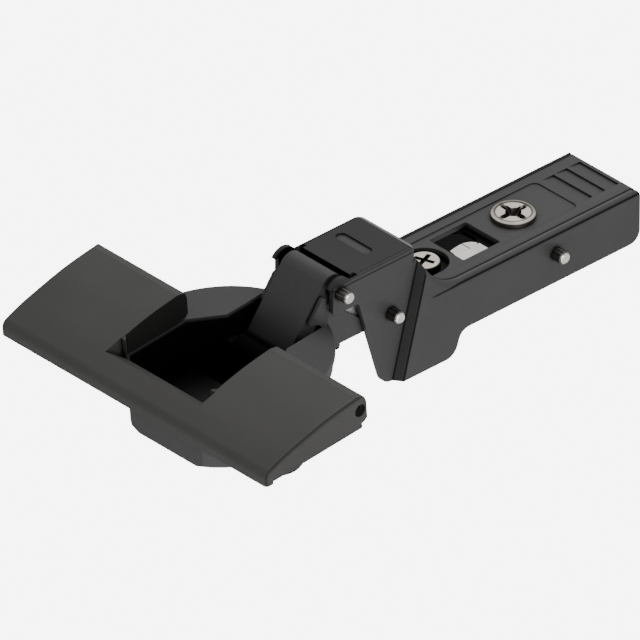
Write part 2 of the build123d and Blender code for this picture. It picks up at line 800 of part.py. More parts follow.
# Damper block on the cup's floor, with a guide for its slide and one for its switch
block_low = -cup_depth + cup_floor
block_height = 2.3
block_top = block_low + block_height
block_rear = 2.2
piston_half = 3.0
with BuildPart() as damper_housing:
    with BuildSketch(cup_plane.offset(block_low)):
        with BuildLine():
            FilletPolyline(
                (-pocket_front + 0.1, -7.6),
                (-2.0, -9.3),
                (1.0, -9.3),
                (block_rear, -7.9),
                (block_rear, 7.9),
                (1.0, 9.3),
                (-2.0, 9.3),
                (-pocket_front + 0.1, 7.6),
                radius=0.5,
                close=True,
            )
        make_face()
    extrude(amount=block_top - block_low)
    chamfer(damper_housing.faces().sort_by(cup_axis)[-1].edges(), 0.3)
    with BuildSketch(cup_plane.offset(block_low)):
        with Locations((block_rear, 0)):
            Rectangle(9.0, 2 * piston_half + 0.2, align=(Align.MAX, Align.CENTER))
    extrude(amount=1.5, mode=Mode.SUBTRACT)
    with BuildSketch(cup_plane.offset(block_top)):
        with Locations((-9.0, 0)):
            Rectangle(2.2, 6.2)
    extrude(amount=-0.6, mode=Mode.SUBTRACT)
damper_housing.part.label = "damper_housing"
export_step(damper_housing.part, "parts/damper_housing.step")

with BuildPart() as damper_piston:
    with BuildSketch(cup_plane.offset(block_low + 0.05)):
        with Locations((block_rear - 5.6, 0)):
            RectangleRounded(8.0, 2 * piston_half, 0.6, align=(Align.MIN, Align.CENTER))
    extrude(amount=1.35)
damper_piston.part.label = "damper_piston"
export_step(damper_piston.part, "parts/damper_piston.step")

with BuildPart() as damper_switch:
    with BuildSketch(cup_plane.offset(block_top - 0.55)):
        with Locations((-9.0, -1.2)):
            Rectangle(2.0, 3.4)
    extrude(amount=0.9)
    with BuildSketch(cup_plane.offset(block_top + 0.35)):
        with Locations((-9.0, -1.2)):
            Rectangle(2.0, 0.9)
    extrude(amount=0.4)
damper_switch.part.label = "damper_switch"
export_step(damper_switch.part, "parts/damper_switch.step")

# Hollow cover with a cut-out for the arm; its ends turn on the lugs
inner_front = plate_front + 0.3
with BuildPart() as cover_hollow:
    with BuildSketch(cup_side):
        with BuildLine():
            Polyline(
                (-inner_front, -far),
                (-inner_front, cover_top_z - 3.75 - cover_wall),
                (-cover_front + 4.6, cover_top_z - 2.5 - cover_wall),
                (-cover_front + 8.9, cover_top_z - 1.6 - cover_wall),
                (-cover_front + 13.3, cover_top_z - 0.75 - cover_wall),
                (-cover_front + 17.6, cover_top_z - 0.25 - cover_wall),
                (cover_top_x + 0.6, cover_top_z - 0.05 - cover_wall),
                (cover_top_x + 0.6, -far),
                close=True,
            )
        make_face()
    extrude(amount=cover_half - cover_wall, both=True)
    with BuildSketch(cup_plane):
        with Locations((-bar_slope_x - 0.9, 0)):
            Rectangle(far, 2 * (cover_open_half + cover_wall), align=(Align.MIN, Align.CENTER))
    extrude(amount=far, both=True, mode=Mode.SUBTRACT)

with BuildPart() as flip_cover:
    with BuildSketch(cup_side):
        with BuildLine():
            Line((-cover_front, -cover_lip_low), (-cover_front, cover_front_flat))
            bend = TangentArc((-cover_front, cover_front_flat), (-cover_front + 1.1, cover_front_flat + 1.55), tangent=(0, 1))
            Spline(
                bend @ 1,
                (-cover_front + 4.4, cover_top_z - 2.55),
                (-cover_front + 8.8, cover_top_z - 1.55),
                (-cover_front + 13.2, cover_top_z - 0.7),
                (-cover_front + 17.6, cover_top_z - 0.2),
                (cover_top_x, cover_top_z),
                tangents=(bend % 1, (1, 0.07)),
            )
            Polyline(
                (cover_top_x, cover_top_z),
                (cover_top_x + 1.4, cover_top_z - 0.35),
                (hinge_eye_x + 1.4, hinge_eye_z + 1.2),
                (hinge_eye_x + 1.4, hinge_eye_z - 1.9),
                (hinge_eye_x + 0.9, hinge_eye_z - 2.35),
                (hinge_eye_x, hinge_eye_z - 2.65),
                (hinge_eye_x - 0.9, cover_gap),
                (-inner_front, cover_gap),
                (-inner_front, -cover_lip_low),
                (-cover_front, -cover_lip_low),
            )
        make_face()
    extrude(amount=cover_half, both=True)
    fillet(flip_cover.edges().filter_by(GeomType.BSPLINE), 0.7)
    add(cover_hollow.part, mode=Mode.SUBTRACT)
    with BuildSketch(cup_plane):
        with BuildLine():
            Polyline(
                (far, -cover_open_half),
                (far, cover_open_half),
                (-cover_open_front + 0.8, cover_open_half),
                (-cover_open_front, cover_open_half - 0.8),
                (-cover_open_front, -cover_open_half + 0.8),
                (-cover_open_front + 0.8, -cover_open_half),
                close=True,
            )
        make_face()
        for side in (-1, 1):
            with Locations((hinge_eye_x - 1.6, side * (cover_half - cover_wall))):
                Rectangle(far, 2.4, align=(Align.MIN, Align.MAX if side > 0 else Align.MIN))
    extrude(amount=-far, mode=Mode.SUBTRACT)
    with BuildSketch(cup_plane):
        with BuildLine():
            Polyline(
                (far, -cover_open_half),
                (far, cover_open_half),
                (-cover_open_front + 0.8, cover_open_half),
                (-cover_open_front, cover_open_half - 0.8),
                (-cover_open_front, -cover_open_half + 0.8),
                (-cover_open_front + 0.8, -cover_open_half),
                close=True,
            )
        make_face()
    extrude(amount=far, mode=Mode.SUBTRACT)
    for side in (-1, 1):
        with BuildSketch(cup_plane):
            with Locations((hinge_eye_x - 1.6, side * (cover_half - cover_wall))):
                Rectangle(far, 2.4, align=(Align.MIN, Align.MAX if side > 0 else Align.MIN))
        extrude(amount=hinge_eye_z + hinge_eye_r + 0.1, mode=Mode.SUBTRACT)
    # The bar between the wings slopes down to the pocket's edge
    with BuildSketch(cup_side):
        with BuildLine():
            Polyline(
                (-cover_open_front, cover_gap),
                (-cover_open_front, 2 * bar_slope_z),
                (cover_open_front - 2 * bar_slope_x, 2 * bar_slope_z - cover_gap),
                close=True,
            )
        make_face()
    extrude(amount=cover_open_half + 0.25, both=True, mode=Mode.SUBTRACT)
    # Pin holes in the ends, wider at the outside
    for side in (-1, 1):
        end = Plane(origin=cup_side.origin + Vector(0, side * cover_half, 0), x_dir=cup_side.x_dir, z_dir=(0, side, 0))
        with BuildSketch(end):
            with Locations((hinge_eye_x, -side * hinge_eye_z)):
                Circle(hinge_pin_r)
        extrude(amount=-cover_wall, mode=Mode.SUBTRACT)
        with BuildSketch(end):
            with Locations((hinge_eye_x, -side * hinge_eye_z)):
                Circle(hinge_hole_r)
        extrude(amount=-hinge_hole_depth, mode=Mode.SUBTRACT)
flip_cover.part.label = "flip_cover"
export_step(flip_cover.part, "parts/flip_cover.step")

# Pivot pins of the cover, dowels under the wings and the claws in their slots
cover_pins = {}
dowels = {}
claws = {}
for name, side in (("left", 1), ("right", -1)):
    with BuildPart() as cover_pin:
        with BuildSketch(cup_side):
            with Locations((hinge_eye_x, hinge_eye_z)):
                Circle(hinge_pin_r)
        extrude(amount=-side * (cover_half - hinge_hole_depth))
        with BuildSketch(cup_side):
            with Locations((hinge_eye_x, hinge_eye_z)):
                Circle(2 * hinge_pin_r)
        extrude(amount=-side * (cover_half - cover_wall - 2.0), mode=Mode.SUBTRACT)
    cover_pins[name] = cover_pin.part
    cover_pins[name].label = "cover_pin_" + name
    export_step(cover_pins[name], "parts/cover_pin_" + name + ".step")

    dowel_y = side * dowel_spacing / 2
    with BuildPart() as dowel:
        with BuildSketch(cup_plane.offset(-flange)):
            with Locations((dowel_x, dowel_y)):
                Circle(dowel_r)
        extrude(amount=-dowel_length)
        with BuildSketch(cup_plane.offset(-flange)):
            with Locations((dowel_x, dowel_y)):
                Circle(dowel_r - 1.2)
        extrude(amount=flange)
        with BuildSketch(cup_plane):
            with Locations((dowel_x, dowel_y)):
                Circle(dowel_r - 0.4)
        extrude(amount=0.7)
        with BuildSketch(cup_plane.offset(-flange - 0.8)):
            with Locations((dowel_x, dowel_y + side * (dowel_r + 1 - claw_length))):
                Rectangle(claw_width + 0.2, claw_length, align=(Align.CENTER, Align.MIN if side > 0 else Align.MAX))
        extrude(amount=-claw_height - 0.2, mode=Mode.SUBTRACT)
    dowels[name] = dowel.part
    dowels[name].label = "dowel_" + name
    export_step(dowels[name], "parts/dowel_" + name + ".step")

    # Claw with three teeth; it slides out of its slot as the cover shuts
    claw_in = dowel_y + side * (dowel_r + 1 - claw_length + claw_travel + 0.1)
    claw_out = dowel_y + side * (dowel_r + claw_travel - 0.1)
    claw_top = -flange - 0.9
    tooth = claw_height / 3
    claw_plane = Plane(origin=from_cup3(dowel_x, 0), x_dir=(0, 1, 0), z_dir=cup_plane.x_dir)
    with BuildPart() as claw:
        with BuildSketch(claw_plane):
            with BuildLine():
                Polyline(
                    (claw_in, claw_top),
                    (claw_out, claw_top),
                    (claw_out - side * 0.45, claw_top - tooth),
                    (claw_out, claw_top - tooth),
                    (claw_out - side * 0.45, claw_top - 2 * tooth),
                    (claw_out, claw_top - 2 * tooth),
                    (claw_out - side * 0.45, claw_top - 3 * tooth),
                    (claw_in, claw_top - 3 * tooth),
                    close=True,
                )
            make_face()
        extrude(amount=claw_width / 2, both=True)
    claws[name] = claw.part
    claws[name].label = "dowel_claw_" + name
    export_step(claws[name], "parts/dowel_claw_" + name + ".step")
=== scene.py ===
import math

import bmesh
import bpy
from mathutils import Matrix, Vector


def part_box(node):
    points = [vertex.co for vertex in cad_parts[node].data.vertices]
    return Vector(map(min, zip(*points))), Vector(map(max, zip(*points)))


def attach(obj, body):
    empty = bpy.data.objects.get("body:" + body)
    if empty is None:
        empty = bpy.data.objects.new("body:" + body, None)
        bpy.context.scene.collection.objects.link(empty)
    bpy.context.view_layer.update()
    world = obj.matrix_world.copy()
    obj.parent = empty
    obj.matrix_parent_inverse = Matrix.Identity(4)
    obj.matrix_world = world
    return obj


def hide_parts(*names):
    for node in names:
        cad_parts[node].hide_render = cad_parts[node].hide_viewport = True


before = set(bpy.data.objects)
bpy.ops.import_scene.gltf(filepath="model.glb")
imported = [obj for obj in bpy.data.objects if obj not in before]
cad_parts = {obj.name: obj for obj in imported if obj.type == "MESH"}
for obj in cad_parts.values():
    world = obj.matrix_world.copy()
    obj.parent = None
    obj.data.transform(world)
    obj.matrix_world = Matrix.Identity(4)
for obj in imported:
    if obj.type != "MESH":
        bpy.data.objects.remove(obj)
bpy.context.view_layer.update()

# Places on the hinge that the finishes follow, in metres
cup_centre = Vector((-0.0587, 0, 0.00386))
cup_tilt = math.radians(5)
cup_out = Vector((-math.sin(cup_tilt), 0, math.cos(cup_tilt)))
cup_along = Vector((math.cos(cup_tilt), 0, math.sin(cup_tilt)))
cup_pivot = Vector((-0.05025, 0, -0.00092))
outer_pivot = Vector((-0.0395, 0, 0.0098))
inner_pivot = Vector((-0.02845, 0, 0.0013))
rear_low, rear_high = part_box("rear_cross_pin")
rear_axis = (rear_low + rear_high) / 2
across = Vector((0, 1, 0))
upward = Vector((0, 0, 1))
rearward = Vector((1, 0, 0))
roof_z = 0.0021
hump_z = 0.01125
arm_half = 0.0083
nose_half = 0.00675
joggle_x = -0.02445
joggle_lean = 0.264
joggle_run = 0.00108
screw_x = -0.0148
cam_x = 0.0047
cam_r = 0.00361
cam_z = 0.00295
pin_r = 0.00115
nose_pin_end = 0.0092
rear_pin_end = 0.01075
pocket_depth = 0.011
cover_half = 0.03074
cover_open_half = 0.01065

# Half the width over which a sharp mask changes
step_half = 0.00001


def start(name):
    material = bpy.data.materials.new(name)
    material.use_nodes = True
    tree = material.node_tree
    tree.nodes.clear()
    out = tree.nodes.new("ShaderNodeOutputMaterial")
    shader = tree.nodes.new("ShaderNodeBsdfPrincipled")
    tree.links.new(shader.outputs["BSDF"], out.inputs["Surface"])
    where = tree.nodes.new("ShaderNodeTexCoord")
    return material, tree, shader, where.outputs["Object"]


def wire(tree, socket, value):
    if isinstance(value, bpy.types.NodeSocket):
        tree.links.new(value, socket)
    else:
        socket.default_value = value


def calc(tree, operation, *values):
    node = tree.nodes.new("ShaderNodeMath")
    node.operation = operation
    for socket, value in zip(node.inputs, values):
        wire(tree, socket, value)
    return node.outputs["Value"]


def along(tree, where, direction, centre=Vector((0, 0, 0))):
    # Distance from a plane through centre, in metres
    node = tree.nodes.new("ShaderNodeVectorMath")
    node.operation = "DOT_PRODUCT"
    wire(tree, node.inputs[0], where)
    node.inputs[1].default_value = direction
    return calc(tree, "SUBTRACT", node.outputs["Value"], centre.dot(direction))


def beside(tree, where):
    return calc(tree, "ABSOLUTE", along(tree, where, across))


def times(tree, value, factor):
    return calc(tree, "MULTIPLY", value, factor)


def less(tree, value):
    return calc(tree, "SUBTRACT", 1.0, value)


def around(tree, a, b):
    return calc(tree, "SQRT", calc(tree, "ADD", times(tree, a, a), times(tree, b, b)))


def from_axis(tree, where, centre):
    # Distance from a line across the hinge
    return around(tree, along(tree, where, rearward, centre), along(tree, where, upward, centre))


def rise(tree, value, low, high, start_at=0.0, end_at=1.0):
    # From start_at below low to end_at above high, with a smooth change between
    node = tree.nodes.new("ShaderNodeMapRange")
    node.interpolation_type = "SMOOTHSTEP"
    wire(tree, node.inputs["Value"], value)
    node.inputs["From Min"].default_value = low
    node.inputs["From Max"].default_value = high
    node.inputs["To Min"].default_value = start_at
    node.inputs["To Max"].default_value = end_at
    return node.outputs["Result"]


def over(tree, value, edge):
    return rise(tree, value, edge - step_half, edge + step_half)


def under(tree, value, edge):
    return rise(tree, value, edge - step_half, edge + step_half, 1.0, 0.0)


def line(tree, value, middle, half):
    # A soft narrow stripe
    off = calc(tree, "ABSOLUTE", calc(tree, "SUBTRACT", value, middle))
    return rise(tree, off, half * 0.5, half * 1.5, 1.0, 0.0)


def both(tree, *masks):
    result = masks[0]
    for mask in masks[1:]:
        result = calc(tree, "MULTIPLY", result, mask)
    return result


def either(tree, *masks):
    result = masks[0]
    for mask in masks[1:]:
        result = calc(tree, "MAXIMUM", result, mask)
    return result


def darkened(tree, *parts):
    # What is left of a tone where each mask takes its share away
    return less(tree, either(tree, *[times(tree, mask, share) for mask, share in parts]))


def noise(tree, where, scale, detail, rough=0.5):
    node = tree.nodes.new("ShaderNodeTexNoise")
    node.inputs["Scale"].default_value = scale
    node.inputs["Detail"].default_value = detail
    node.inputs["Roughness"].default_value = rough
    wire(tree, node.inputs["Vector"], where)
    return node.outputs["Fac"]


def shades(tree, value, low, high):
    node = tree.nodes.new("ShaderNodeValToRGB")
    for element, position, colour in zip(node.color_ramp.elements, (0.3, 0.7), (low, high)):
        element.position = position
        element.color = (*colour, 1)
    wire(tree, node.inputs["Fac"], value)
    return node.outputs["Color"]


def scaled(tree, colour, amount):
    node = tree.nodes.new("ShaderNodeVectorMath")
    node.operation = "SCALE"
    wire(tree, node.inputs[0], colour)
    wire(tree, node.inputs["Scale"], amount)
    return node.outputs["Vector"]


def painted_crease_shade(tree, distance, darkest):
    # Painted shade: darker in corners and narrow gaps, where an ambient occlusion node finds
    # them
    node = tree.nodes.new("ShaderNodeAmbientOcclusion")
    node.samples = 6
    node.inputs["Distance"].default_value = distance
    return rise(tree, node.outputs["AO"], 0.35, 0.95, darkest, 1.0)


def relief(tree, shader, height, strength, depth, edge):
    # Fine bumps over edges that are a little rounded
    rounded = tree.nodes.new("ShaderNodeBevel")
    rounded.samples = 4
    rounded.inputs["Radius"].default_value = edge
    bumps = tree.nodes.new("ShaderNodeBump")
    bumps.inputs["Strength"].default_value = strength
    bumps.inputs["Distance"].default_value = depth
    wire(tree, bumps.inputs["Height"], height)
    tree.links.new(rounded.outputs["Normal"], bumps.inputs["Normal"])
    tree.links.new(bumps.outputs["Normal"], shader.inputs["Normal"])


def coat(tree, where, shader, tones, low, high, amount, shade):
    # The colour, less the painted shade in corners and what the piece's own shade takes away
    if shade:
        amount = both(tree, amount, shade(tree, where))
    colour = scaled(tree, shades(tree, tones, low, high), amount)
    wire(tree, shader.inputs["Base Color"], colour)
    return amount


def uneven_gloss(tree, shader, marks, roughness, swing):
    gloss = calc(tree, "MULTIPLY_ADD", marks, swing, roughness - swing / 2)
    wire(tree, shader.inputs["Roughness"], gloss)


def paint(name, colour, roughness, specular, grain, bump, shade=None):
    # Satin paint: slow changes of tone, a fine grain in the gloss and a soft orange peel
    material, tree, shader, where = start(name)
    slow = noise(tree, where, scale=70, detail=3)
    fine = noise(tree, where, scale=grain, detail=4, rough=0.6)
    low = [value * 0.92 for value in colour]
    high = [value * 1.08 for value in colour]
    # Painted shade in corners and narrow gaps
    corners = painted_crease_shade(tree, distance=0.0009, darkest=0.25)
    amount = coat(tree, where, shader, slow, low, high, corners, shade)
    uneven_gloss(tree, shader, fine, roughness, swing=0.12)
    # The painted shade dims the specular level too
    wire(tree, shader.inputs["Specular IOR Level"], times(tree, amount, specular))
    relief(tree, shader, fine, strength=bump, depth=0.00002, edge=0.00012)
    return material


def metal(name, colour, roughness, grain, stretch, shade=None):
    # Plated metal with fine marks, a faint uneven tone and painted shade in its corners
    material, tree, shader, where = start(name)
    place = tree.nodes.new("ShaderNodeMapping")
    place.inputs["Scale"].default_value = stretch
    wire(tree, place.inputs["Vector"], where)
    marks = noise(tree, place.outputs["Vector"], scale=grain, detail=3, rough=0.6)
    slow = noise(tree, where, scale=600, detail=2)
    low = [value * 0.85 for value in colour]
    # Painted shade in corners and narrow gaps
    corners = painted_crease_shade(tree, distance=0.0006, darkest=0.35)
    coat(tree, where, shader, slow, low, colour, corners, shade)
    shader.inputs["Metallic"].default_value = 1.0
    uneven_gloss(tree, shader, marks, roughness, swing=0.16)
    relief(tree, shader, marks, strength=0.3, depth=0.00001, edge=0.00006)
    return material


def cup_shade(tree, where):
    # Painted shade: black inside the pocket, down to its floor, and in the slot
    pocket_r, pocket_front = 0.0147, -0.0121
    slot_from, slot_half = 0.007, 0.0071
    lip_low, lip_high = -0.0009, -0.0001
    depth = along(tree, where, cup_out, cup_centre)
    ahead = along(tree, where, cup_along, cup_centre)
    side = beside(tree, where)
    pocket = both(
        tree, under(tree, around(tree, ahead, side), pocket_r), over(tree, ahead, pocket_front)
    )
    slot = both(tree, over(tree, ahead, slot_from), under(tree, side, slot_half))
    above_floor = over(tree, depth, -pocket_depth - 0.0001)
    below_lip = rise(tree, depth, lip_low, lip_high, 0.93, 0.0)
    return less(tree, both(tree, either(tree, pocket, slot), above_floor, below_lip))


def link_shade(tree, where):
    # Painted shade: the foot's roll and what lies deep in the pocket are nearly black
    deep, shallow = -0.004, 0.003
    roll_r, roll_end = 0.0022, 0.0034
    outside_from, outside_to = 0.0172, 0.0176
    depth = along(tree, where, cup_out, cup_centre)
    ahead = along(tree, where, cup_along, cup_centre)
    low = rise(tree, depth, deep, shallow, 0.35, 1.0)
    roll = rise(tree, from_axis(tree, where, cup_pivot), roll_r, roll_end, 0.12, 1.0)
    return either(tree, both(tree, low, roll), rise(tree, ahead, outside_from, outside_to))


def arm_shade(tree, where):
    # Painted shade: the inner faces of the folded sheet are nearly black
    arm_inside, roof_inside = 0.00729, roof_z - 0.00107
    nose_inside, hump_inside = 0.00589, 0.01029
    nose_end, arm_end = -0.0231, 0.0239
    mouth_x, mouth_z, mouth_half = -0.0362, 0.009, 0.0059
    up = along(tree, where, upward)
    side = beside(tree, where)
    run = along(tree, where, rearward)
    wide = both(
        tree,
        under(tree, side, arm_inside),
        under(tree, up, roof_inside),
        over(tree, run, nose_end),
        under(tree, run, arm_end),
    )
    nose = both(
        tree,
        under(tree, side, nose_inside),
        under(tree, up, hump_inside),
        under(tree, run, nose_end),
    )
    mouth = both(
        tree,
        under(tree, run, mouth_x),
        under(tree, side, mouth_half),
        over(tree, up, mouth_z),
    )

    # Painted shade: thin dark lines where the sheet's bends start and end
    lean = times(tree, calc(tree, "SUBTRACT", up, roof_z), joggle_lean)
    leaning = calc(tree, "SUBTRACT", run, lean)
    rear_part = rise(tree, leaning, joggle_x + 0.003, joggle_x + 0.005)
    front_part = under(tree, leaning, joggle_x)
    joggle_side = over(tree, side, nose_half - 0.0003)
    bends = [
        (rear_part, over(tree, up, roof_z - 0.0004), side, arm_half - 0.0012, 0.00018),
        (rear_part, over(tree, side, arm_half - 0.0004), up, roof_z - 0.0006, 0.00018),
        (front_part, over(tree, up, hump_z - 0.0002), side, nose_half - 0.0007, 0.0001),
        (front_part, over(tree, side, nose_half - 0.0002), up, hump_z - 0.0007, 0.0001),
        (1.0, joggle_side, leaning, joggle_x, 0.00016),
        (1.0, joggle_side, leaning, joggle_x + joggle_run, 0.00016),
    ]
    bend_shade_lines = [
        both(tree, part, face, line(tree, value, middle, half))
        for part, face, value, middle, half in bends
    ]
    # Painted shade on the joggle's slanted face and on the hump's top
    joggle_face = both(
        tree, joggle_side, line(tree, leaning, joggle_x + joggle_run / 2, 0.0005)
    )
    hump_top = both(tree, over(tree, up, hump_z - 0.0002), front_part)
    left = darkened(
        tree,
        (either(tree, wide, nose, mouth), 0.94),
        (either(tree, *bend_shade_lines), 0.8),
        (joggle_face, 0.5),
        (hump_top, 0.42),
    )

    # Painted highlight along the hump's rear edge, where its bend catches the light
    edge_x, edge_half, highlight_half = -0.0233, 0.0002, 0.0062
    edge_highlight = both(
        tree,
        over(tree, up, hump_z - 0.0003),
        line(tree, run, edge_x, edge_half),
        under(tree, side, highlight_half),
    )
    return calc(tree, "ADD", left, times(tree, edge_highlight, 2.5))


def cover_shade(tree, where):
    # Painted shade on the window sides, in a dark edge along both ends and in the seam above the
    # plate
    window_from = -0.0135
    seam_x, seam_z, seam_slope = -0.06636, 0.00197, 0.199
    seam_from, seam_full = -0.069, -0.066
    ahead = along(tree, where, cup_along, cup_centre)
    up = along(tree, where, upward)
    run = along(tree, where, rearward)
    side = beside(tree, where)
    window = both(
        tree, line(tree, side, cover_open_half, 0.00006), over(tree, ahead, window_from)
    )
    end_edge = line(tree, side, cover_half - 0.00025, 0.00018)
    off_seam = calc(tree, "SUBTRACT", up, times(tree, run, seam_slope))
    seam = both(
        tree,
        line(tree, off_seam, seam_z - seam_x * seam_slope, 0.00012),
        over(tree, side, cover_half - 0.00008),
        rise(tree, run, seam_from, seam_full),
    )
    return darkened(tree, (window, 0.72), (end_edge, 0.45), (seam, 0.8))


def carriage_shade(tree, where):
    # Painted shade: the top face is dark, apart from a strip in the window
    strip_front, strip_rear, strip_side, strip_z = -0.0105, -0.0036, -0.0009, 0.0009
    top_low, top_high = -0.0054, -0.0048
    up = along(tree, where, upward)
    run = along(tree, where, rearward)
    strip = both(
        tree,
        under(tree, run, strip_rear),
        over(tree, run, strip_front),
        under(tree, along(tree, where, across), strip_side),
        over(tree, up, strip_z),
    )
    return either(tree, strip, rise(tree, up, top_low, top_high, 0.3, 0.004))


def cam_shade(tree, where):
    # Painted shade: darker in the cross, the dish, the groove inside the rim and round the
    # head's side
    arm_width, middle_reach, cross_r = 0.00042, 0.0013, 0.00285
    dish_r, dish_depth = 0.00295, 0.00022
    groove_r, groove_half = 0.00306, 0.0002
    up = along(tree, where, upward)
    run = calc(tree, "ABSOLUTE", along(tree, where, rearward, Vector((cam_x, 0, 0))))
    side = beside(tree, where)
    out = around(tree, run, side)
    arms = either(tree, under(tree, run, arm_width), under(tree, side, arm_width))
    middle = under(tree, calc(tree, "ADD", run, side), middle_reach)
    cross = both(tree, either(tree, arms, middle), under(tree, out, cross_r))
    dish = both(tree, under(tree, up, cam_z - dish_depth), under(tree, out, dish_r))
    groove = line(tree, out, groove_r, groove_half)
    rim = over(tree, out, cam_r - 0.00003)
    return darkened(tree, (cross, 0.8), (dish, 0.85), (groove, 0.75), (rim, 0.7))


def screw_shade(tree, where):
    # Painted shade: dark recess, side and outer rim
    recess_z, face_z = 0.00205, 0.00212
    face_r, rim_r = 0.0024, 0.0026
    up = along(tree, where, upward)
    run = along(tree, where, rearward, Vector((screw_x, 0, 0)))
    out = around(tree, run, beside(tree, where))
    face = rise(tree, up, recess_z, face_z, 0.08, 1.0)
    return both(tree, face, rise(tree, out, face_r, rim_r, 1.0, 0.12))


def pin_shade(centre, end):
    # Painted shade and reflection: only the near end's face is bright; the fluted shaft is dark,
    # standing for the black arm reflected in it
    def shade(tree, where):
        side = along(tree, where, -across)
        out = from_axis(tree, where, centre)
        face = both(tree, over(tree, side, end - 0.00045), under(tree, out, pin_r * 0.82))
        return rise(tree, face, 0.0, 1.0, 0.16, 1.0)

    return shade


def lever_shade(tree, where):
    # Painted shade: nearly black below the window, bare at its tail
    oil_end, bare_from = 0.008, 0.012
    return rise(tree, along(tree, where, rearward), oil_end, bare_from, 0.01, 1.0)


def leaf_shade(tree, where):
    # Painted shade: a dark join between the leaf and the plate beside it
    join_x, join_half = -0.0058, 0.00012
    return darkened(tree, (line(tree, along(tree, where, rearward), join_x, join_half), 0.8))


def grey(value):
    return (value, value, value)


# Marks in the finishes: their number in a metre, and how they are stretched
paint_grain, cover_grain, plastic_grain = 4200, 3200, 3000
fine_marks, coarse_marks = 3000, 2500
even, turned, rolled = (1, 1, 1), (1, 1, 6), (1, 6, 6)

steel = (0.86, 0.84, 0.8)
warm_steel = (0.8, 0.74, 0.66)
cover_grey = (0.04, 0.0395, 0.0375)
outer_pin_shade = pin_shade(outer_pivot, nose_pin_end)
inner_pin_shade = pin_shade(inner_pivot, nose_pin_end)
rear_pin_shade = pin_shade(rear_axis, rear_pin_end)

# Paint and plastic: colour, roughness, specular level, grain, bump and shade
painted = {
    "hinge_arm": ("arm_paint", grey(0.034), 0.48, 0.35, paint_grain, 0.25, arm_shade),
    "outer_link": ("link_paint", grey(0.034), 0.45, 0.3, paint_grain, 0.25, link_shade),
    "inner_link": ("inner_link_paint", grey(0.036), 0.45, 0.3, paint_grain, 0.25, link_shade),
    "hinge_cup": ("cup_paint", grey(0.037), 0.48, 0.3, paint_grain, 0.3, cup_shade),
    "flip_cover": ("cover_paint", cover_grey, 0.55, 0.3, cover_grain, 0.5, cover_shade),
    # Black plastic, made darker still as painted shade deep in the pocket
    "damper_housing": ("damper_plastic", grey(0.003), 0.3, 0.35, plastic_grain, 0.3),
    "dowel_left": ("dowel_plastic", grey(0.012), 0.5, 0.2, plastic_grain, 0.3),
}
# Metal: colour, roughness, marks, their stretch and shade
plated = {
    "carriage": ("bare_steel", steel, 0.36, coarse_marks, rolled, carriage_shade),
    "overlay_screw": ("screw_nickel", warm_steel, 0.34, fine_marks, turned, screw_shade),
    "depth_cam": ("cam_nickel", warm_steel, 0.34, fine_marks, turned, cam_shade),
    "outer_link_pin": ("outer_pin_nickel", steel, 0.34, fine_marks, even, outer_pin_shade),
    "inner_link_pin": ("inner_pin_nickel", steel, 0.34, fine_marks, even, inner_pin_shade),
    "rear_cross_pin": ("rear_pin_nickel", steel, 0.34, fine_marks, even, rear_pin_shade),
    "closing_spring": ("spring_steel", steel, 0.5, fine_marks, even),
    "clip_lever": ("lever_steel", grey(0.3), 0.5, coarse_marks, rolled, lever_shade),
    "dowel_claw_left": ("claw_steel", grey(0.03), 0.5, coarse_marks, even),
    # Near-black steel, its darkness painted shade for pieces deep in holes and in the pocket
    "cover_pin_left": ("shade_dark_steel", grey(0.05), 0.35, coarse_marks, even),
}
same_as = {
    "cup_pin_outer": "cover_pin_left",
    "cup_pin_inner": "cover_pin_left",
    "cover_pin_right": "cover_pin_left",
    "clip_spring": "cover_pin_left",
    "damper_piston": "damper_housing",
    "damper_switch": "damper_housing",
    "dowel_right": "dowel_left",
    "dowel_claw_right": "dowel_claw_left",
}
finish = {node: paint(*values) for node, values in painted.items()}
finish.update({node: metal(*values) for node, values in plated.items()})
finish.update({node: finish[other] for node, other in same_as.items()})


def dress(mesh, material):
    mesh.materials.clear()
    mesh.materials.append(material)


def place_piece(name, mesh, body, material):
    piece = bpy.data.objects.new(name, mesh)
    bpy.context.scene.collection.objects.link(piece)
    dress(mesh, material)
    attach(piece, body)
    return piece


for name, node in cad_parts.items():
    dress(node.data, finish[name])

# The front pin, with its far end nearly flush with the ear, as the photograph shows it
far_end_from = 0.0065
far_end_back = 0.0021
pin_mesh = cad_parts["outer_link_pin"].data.copy()
for vertex in pin_mesh.vertices:
    if vertex.co.y > far_end_from:
        vertex.co.y -= far_end_back
front_pin = place_piece("front_pin", pin_mesh, "arm", finish["outer_link_pin"])
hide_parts("outer_link_pin")

# Bright leaf that reaches into the carriage's slot below the window, in millimetres from above
leaf_outline = [
    (-8.9, -1.2),
    (-8.6, 0.55),
    (-7.6, 0.72),
    (-6.4, 0.85),
    (-5.55, 0.85),
    (-4.9, 0.62),
    (-4.3, 0.25),
    (-3.8, -0.4),
    (-3.6, -1.2),
]
leaf_low, leaf_top = 0.00055, 0.00093
leaf_mesh = bpy.data.meshes.new("window_leaf")
shape = bmesh.new()
rim = [shape.verts.new((x / 1000, y / 1000, leaf_low)) for x, y in leaf_outline]
base = shape.faces.new(rim)
raised = bmesh.ops.extrude_face_region(shape, geom=[base])["geom"]
for item in raised:
    if isinstance(item, bmesh.types.BMVert):
        item.co.z = leaf_top
bmesh.ops.recalc_face_normals(shape, faces=shape.faces)
shape.to_mesh(leaf_mesh)
shape.free()
leaf_finish = metal("leaf_steel", steel, 0.36, coarse_marks, even, leaf_shade)
place_piece("window_leaf", leaf_mesh, "carriage", leaf_finish)

